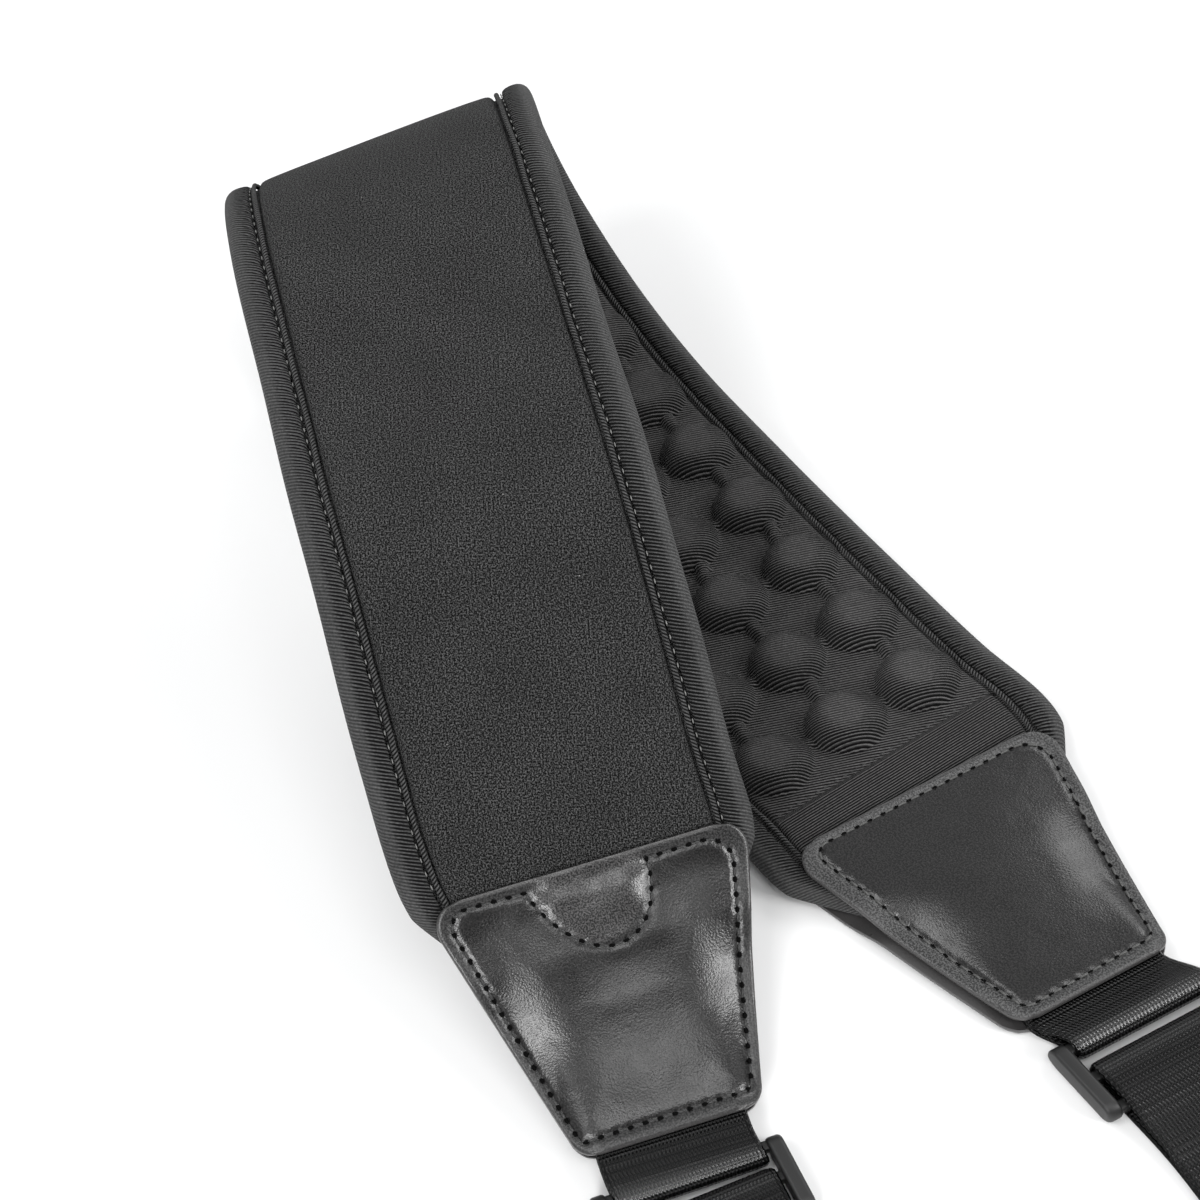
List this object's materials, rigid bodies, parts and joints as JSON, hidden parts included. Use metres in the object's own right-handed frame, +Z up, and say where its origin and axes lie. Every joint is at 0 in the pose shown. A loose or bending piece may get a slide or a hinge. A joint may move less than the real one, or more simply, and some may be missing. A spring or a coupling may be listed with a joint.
{
  "type": "bass guitar strap",
  "caption": "Wide padded guitar strap folded once on a table, bubbled inner face, leather ends, webbing with slides and button-hole tabs.",
  "frame": {"origin": "centre of the bounding box's bottom, on the table", "axes": "+Z up from the table; +Y from the two free ends towards the fold; +X to the right with the fold away from the viewer"},
  "size_m": [0.2059, 0.4647, 0.0988],
  "materials": {
    "knit": "fine charcoal knit, matt",
    "bubble": "fine cross-ribbed charcoal fabric over moulded bubbles, matt",
    "ribbed": "ribbed elastic edge tape, matt",
    "cord": "overlocked piping cord, matt",
    "leather": "grained dark grey leather, satin",
    "webbing": "woven black webbing with a slight sheen",
    "plastic": "moulded black plastic, satin"
  },
  "bodies": {
    "root": {"outer_panel": "knit", "inner_panel": "bubble", "edge_binding_left": "ribbed", "edge_binding_right": "ribbed", "piping_outer_left": "cord", "piping_outer_right": "cord", "piping_inner_left": "cord", "piping_inner_right": "cord", "leather_outer_a": "leather", "leather_inner_a": "leather", "leather_inner_b": "leather", "leather_outer_b": "leather", "webbing_stub_a": "webbing", "webbing_stub_b": "webbing", "webbing_tail_a": "webbing", "webbing_tail_b": "webbing", "slide_a": "plastic", "slide_b": "plastic", "end_tab_a": "leather", "end_tab_b": "leather"}
  },
  "joints": []
}
